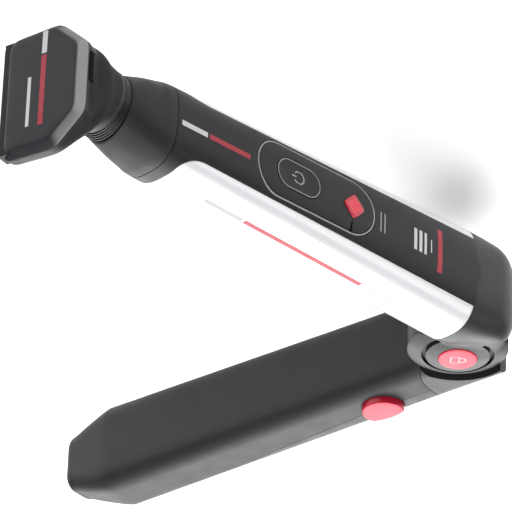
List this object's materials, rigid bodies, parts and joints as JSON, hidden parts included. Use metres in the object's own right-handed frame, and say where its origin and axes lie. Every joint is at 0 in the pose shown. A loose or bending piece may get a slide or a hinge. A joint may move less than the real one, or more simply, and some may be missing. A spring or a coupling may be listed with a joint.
{
  "type": "folding body groomer",
  "caption": "Battery body groomer with a wide tilting foil head on a bellows neck and a telescoping handle that folds on a round lock hinge.",
  "frame": {"origin": "centre of the flat round cap under the handle's hinge, on the hinge axis", "axes": "+Z along the hinge axis towards the lock button, +X from the hinge towards the head, -Y out of the front face with the buttons"},
  "size_m": [0.2918, 0.2759, 0.062],
  "materials": {
    "black_cover": "satin black moulded cover",
    "silver_panel": "glossy silver lacquer",
    "dark_plastic": "dark grey fine-textured plastic",
    "black_plastic": "black plastic",
    "grip_grey": "dark grey satin plastic",
    "grip_dark": "soft-touch dark coating",
    "head_face": "dark grey satin plastic",
    "grey_trim": "light grey lacquered line",
    "red_button": "red translucent gloss",
    "grey_frame": "moulded grey frame",
    "battery_wrap": "shrink-wrapped cell",
    "board": "solder-resist green",
    "tinned_metal": "tinned steel",
    "steel_pin": "ground steel",
    "spring_steel": "spring wire",
    "rail_metal": "anodised aluminium",
    "white_nylon": "natural nylon",
    "seal_rubber": "black elastomer",
    "foil_steel": "bright foil steel"
  },
  "bodies": {
    "housing": {"front_cover": "black_cover", "back_cover": "black_cover", "left_side_panel": "silver_panel", "right_side_panel": "silver_panel", "tail_housing": "dark_plastic", "chassis": "grey_frame", "battery": "battery_wrap", "circuit_board": "board", "tact_switches": "tinned_metal", "charging_jack": "black_plastic", "motor": "tinned_metal", "attachment_collar": "black_plastic", "seal_ring": "seal_rubber", "hinge_pin": "steel_pin", "hinge_cap": "dark_plastic", "hinge_base_cap": "dark_plastic", "keypad_plate": "black_cover", "keypad_trim": "grey_trim", "body_screws": "tinned_metal"},
    "rotor": {"motor_shaft": "steel_pin", "drive_hub": "white_nylon"},
    "power_key": {"power_button": "black_plastic"},
    "boost_key": {"boost_button": "red_button"},
    "hinge_lock": {"lock_button": "red_button", "lock_plunger": "white_nylon", "lock_spring": "spring_steel"},
    "arm": {"hinge_arm": "grip_grey", "lock_bush": "steel_pin", "handle_rail": "rail_metal"},
    "grip": {"grip_inner_shell": "grip_dark", "grip_outer_cover": "grip_grey", "rail_guides": "white_nylon", "grip_screws": "tinned_metal"},
    "extension_lock": {"extension_button": "red_button", "latch_pin": "steel_pin", "latch_spring": "spring_steel"},
    "attachment": {"nose_cone": "dark_plastic", "bellows": "seal_rubber"},
    "drive_link": {"drive_shaft": "white_nylon"},
    "head": {"neck_ring": "dark_plastic", "head_rear_housing": "dark_plastic", "head_front_cover": "head_face", "head_clip": "black_plastic", "foil_frame": "black_plastic", "foil_pair": "foil_steel"},
    "crank": {"eccentric": "white_nylon"},
    "cutter": {"cutter_carrier": "white_nylon", "cutter_blocks": "foil_steel"}
  },
  "joints": [
    {"name": "hinge_fold", "type": "hinge", "parent": "housing", "child": "arm", "pos_m": [0, 0, 0.0214], "axis": [0, 0, 1], "range_deg": [-81.2, 53.8]},
    {"name": "handle_extend", "type": "slide", "parent": "arm", "child": "grip", "axis": [0.153, 0.9882, 0], "range_m": [0, 0.075]},
    {"name": "extension_press", "type": "slide", "parent": "grip", "child": "extension_lock", "axis": [0, 0, -1], "range_m": [0, 0.0022], "stiffness_N_per_m": 900, "springref_m": -0.001, "deforming": ["latch_spring"]},
    {"name": "hinge_lock_press", "type": "slide", "parent": "housing", "child": "hinge_lock", "axis": [0, 0, -1], "range_m": [0, 0.002], "stiffness_N_per_m": 1500, "springref_m": -0.001, "deforming": ["lock_spring"]},
    {"name": "power_press", "type": "slide", "parent": "housing", "child": "power_key", "axis": [0, 1, 0], "range_m": [0, 0.0008], "stiffness_N_per_m": 1200, "springref_m": -0.0005},
    {"name": "boost_press", "type": "slide", "parent": "housing", "child": "boost_key", "axis": [0, 1, 0], "range_m": [0, 0.0008], "stiffness_N_per_m": 1200, "springref_m": -0.0005},
    {"name": "motor_spin", "type": "hinge", "parent": "housing", "child": "rotor", "pos_m": [0.15, -0.0164, 0.0214], "axis": [1, 0, 0], "continuous": true},
    {"name": "attachment_release", "type": "slide", "parent": "housing", "child": "attachment", "axis": [1, 0, 0], "range_m": [0, 0.028]},
    {"name": "drive_link_spin", "type": "hinge", "parent": "attachment", "child": "drive_link", "pos_m": [0.22, -0.0164, 0.0214], "axis": [1, 0, 0], "continuous": true},
    {"name": "head_flex", "type": "hinge", "parent": "attachment", "child": "head", "pos_m": [0.229, -0.0164, 0.0214], "axis": [0, 0, 1], "range_deg": [-10, 10], "stiffness_Nm_per_rad": 0.6, "deforming": ["bellows"]},
    {"name": "crank_spin", "type": "hinge", "parent": "head", "child": "crank", "pos_m": [0.229, -0.0164, 0.0214], "axis": [0.9703, -0.2419, 0], "continuous": true},
    {"name": "cutter_slide", "type": "slide", "parent": "head", "child": "cutter", "axis": [0, 0, 1], "range_m": [-0.0012, 0.0012]}
  ],
  "couplings": [
    {"joint": "drive_link_spin", "follows": "motor_spin", "ratio": 1},
    {"joint": "crank_spin", "follows": "motor_spin", "ratio": 1}
  ]
}
